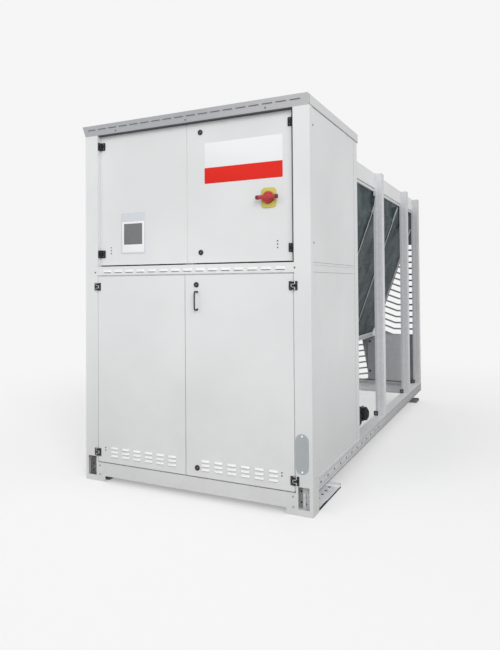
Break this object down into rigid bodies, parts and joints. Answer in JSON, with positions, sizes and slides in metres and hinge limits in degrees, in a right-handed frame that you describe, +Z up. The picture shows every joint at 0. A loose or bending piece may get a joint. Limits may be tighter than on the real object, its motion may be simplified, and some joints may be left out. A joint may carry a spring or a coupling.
{
  "type": "four-pipe heat pump unit",
  "caption": "Free-standing four-pipe heat pump unit: white sheet-metal cabinet with hinged doors, and behind it an open steel frame with slanted coils in a V under a fan deck.",
  "frame": {"origin": "on the floor under the middle of the unit's box", "axes": "+Z up, +X to the right along the front, +Y from the front doors to the back"},
  "size_m": [1.5, 3.346, 2.204],
  "materials": {
    "white_paint": "satin",
    "galvanised_steel": "satin",
    "grey_plate": "matte",
    "coil_fins": "matte",
    "black_plastic": "matte",
    "black_pipe": "satin",
    "yellow_plastic": "gloss",
    "red_plastic": "gloss"
  },
  "bodies": {
    "unit": {"base_rail_left": "galvanised_steel", "base_rail_right": "galvanised_steel", "belt_front": "white_paint", "cabinet_back": "white_paint", "coil_left": "coil_fins", "coil_post_1_left": "galvanised_steel", "coil_post_1_right": "galvanised_steel", "coil_post_2_left": "galvanised_steel", "coil_post_2_right": "galvanised_steel", "coil_post_3_left": "galvanised_steel", "coil_post_3_right": "galvanised_steel", "coil_right": "coil_fins", "cover_plate": "grey_plate", "drip_tray": "galvanised_steel", "fan_1": "black_plastic", "fan_2": "black_plastic", "fan_cowl_1": "white_paint", "fan_cowl_2": "white_paint", "fan_deck": "white_paint", "fan_guard_1": "black_plastic", "fan_guard_2": "black_plastic", "floor_pan": "white_paint", "foot_front_left": "galvanised_steel", "foot_front_right": "galvanised_steel", "foot_rear_left": "galvanised_steel", "foot_rear_right": "galvanised_steel", "front_post_left": "white_paint", "front_post_right": "white_paint", "front_skirt": "white_paint", "lock_upper_bottom": "black_plastic", "lock_upper_top": "black_plastic", "mid_frame": "white_paint", "pipe_front_left": "black_pipe", "pipe_front_right": "black_pipe", "pipe_rear_left": "black_pipe", "pipe_rear_right": "black_pipe", "rear_beam": "galvanised_steel", "rear_guard": "galvanised_steel", "roof_hood": "white_paint", "side_panel_lower_left": "white_paint", "side_panel_lower_right": "white_paint", "side_panel_upper_left": "white_paint", "side_panel_upper_right": "white_paint", "switch_plate": "yellow_plastic", "top_beam_rear": "white_paint", "top_rail_left": "white_paint", "top_rail_right": "white_paint", "upper_door_left": "white_paint", "upper_door_right": "white_paint", "upper_hinge_bottom_left": "black_plastic", "upper_hinge_bottom_right": "black_plastic", "upper_hinge_top_left": "black_plastic", "upper_hinge_top_right": "black_plastic"},
    "left_door": {"lower_door_left": "white_paint"},
    "right_door": {"lower_door_right": "white_paint", "lock_lower_top": "black_plastic", "lock_lower_bottom": "black_plastic", "pull_handle": "black_plastic"},
    "switch": {"switch_handle": "red_plastic"}
  },
  "joints": [
    {"name": "left_door_hinge", "type": "hinge", "parent": "unit", "child": "left_door", "pos_m": [-0.652, -1.645, 0], "axis": [0, 0, -1], "range_deg": [0, 180]},
    {"name": "right_door_hinge", "type": "hinge", "parent": "unit", "child": "right_door", "pos_m": [0.652, -1.645, 0], "axis": [0, 0, 1], "range_deg": [0, 180]},
    {"name": "switch_turn", "type": "hinge", "parent": "unit", "child": "switch", "pos_m": [0.502, -1.637, 1.68], "axis": [0, -1, 0], "range_deg": [0, 90]}
  ]
}
